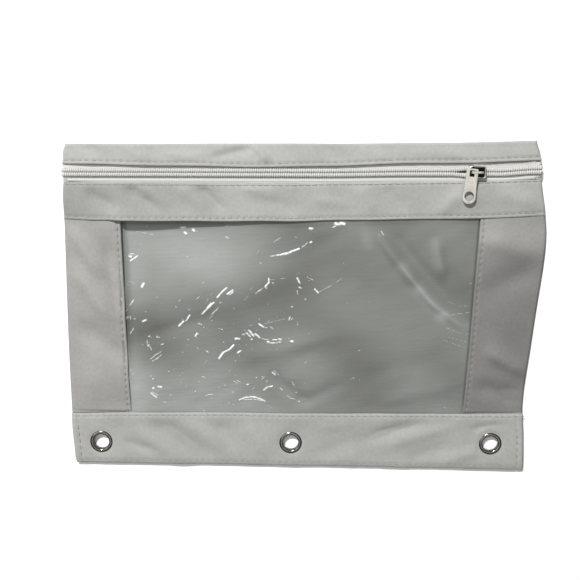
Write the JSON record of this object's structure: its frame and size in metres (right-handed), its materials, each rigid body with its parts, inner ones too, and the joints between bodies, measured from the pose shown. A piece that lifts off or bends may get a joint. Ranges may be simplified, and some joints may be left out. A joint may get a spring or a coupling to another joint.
{
  "type": "zipped pouch",
  "caption": "Flat zipped fabric pouch with a clear front window, a metal zip slider with a pull tab, and a bottom strip with metal eyelets for a ring binder",
  "frame": {"origin": "middle of the footprint, on the surface that the pouch lies on with its back down", "axes": "+X across the width to the right of the zip, +Y up the page from the eyelet strip to the zip, +Z out of the face with the window"},
  "size_m": [0.2526, 0.178, 0.0088],
  "materials": {
    "panel_fabric": "light grey woven polyester",
    "band_fabric": "light grey woven polyester, folded and stitched",
    "zip_tape": "pale grey woven zip tape",
    "zip_coil": "pale grey nylon coil, semi-gloss",
    "clear_vinyl": "soft clear vinyl sheet, glossy and slightly creased",
    "slider_metal": "nickel-plated die-cast zinc",
    "eyelet_metal": "nickel-plated rolled steel"
  },
  "bodies": {
    "pouch": {"back_panel": "panel_fabric", "top_band_front": "band_fabric", "top_band_fold": "band_fabric", "top_band_back": "band_fabric", "lower_band": "band_fabric", "side_panel_left": "panel_fabric", "side_panel_right": "panel_fabric", "window_sheet": "clear_vinyl", "side_seam_left": "panel_fabric", "side_seam_right": "panel_fabric", "lip_front": "band_fabric", "lip_back": "band_fabric", "zip_tape_upper": "zip_tape", "zip_tape_lower": "zip_tape", "coil_upper": "zip_coil", "coil_lower": "zip_coil", "zip_end_left": "zip_tape", "zip_end_right": "zip_tape"},
    "slider": {"slider_body": "slider_metal"},
    "pull": {"pull_tab": "slider_metal"},
    "binder_strip": {"strip_back_ply": "band_fabric", "strip_front_ply": "band_fabric", "eyelet_left": "eyelet_metal", "eyelet_middle": "eyelet_metal", "eyelet_right": "eyelet_metal", "washer_left": "eyelet_metal", "washer_middle": "eyelet_metal", "washer_right": "eyelet_metal"}
  },
  "joints": [
    {"name": "slider_travel", "type": "slide", "parent": "pouch", "child": "slider", "axis": [1, 0, 0], "range_m": [-0.2043, 0.0217]},
    {"name": "pull_swing", "type": "hinge", "parent": "slider", "child": "pull", "pos_m": [0.0887, 0.0746, 0.0071], "axis": [0, 0, 1], "range_deg": [-165, 45]},
    {"name": "strip_fold", "type": "hinge", "parent": "pouch", "child": "binder_strip", "pos_m": [0, -0.0639, 0.00125], "axis": [-1, 0, 0], "range_deg": [-120, 120]}
  ]
}
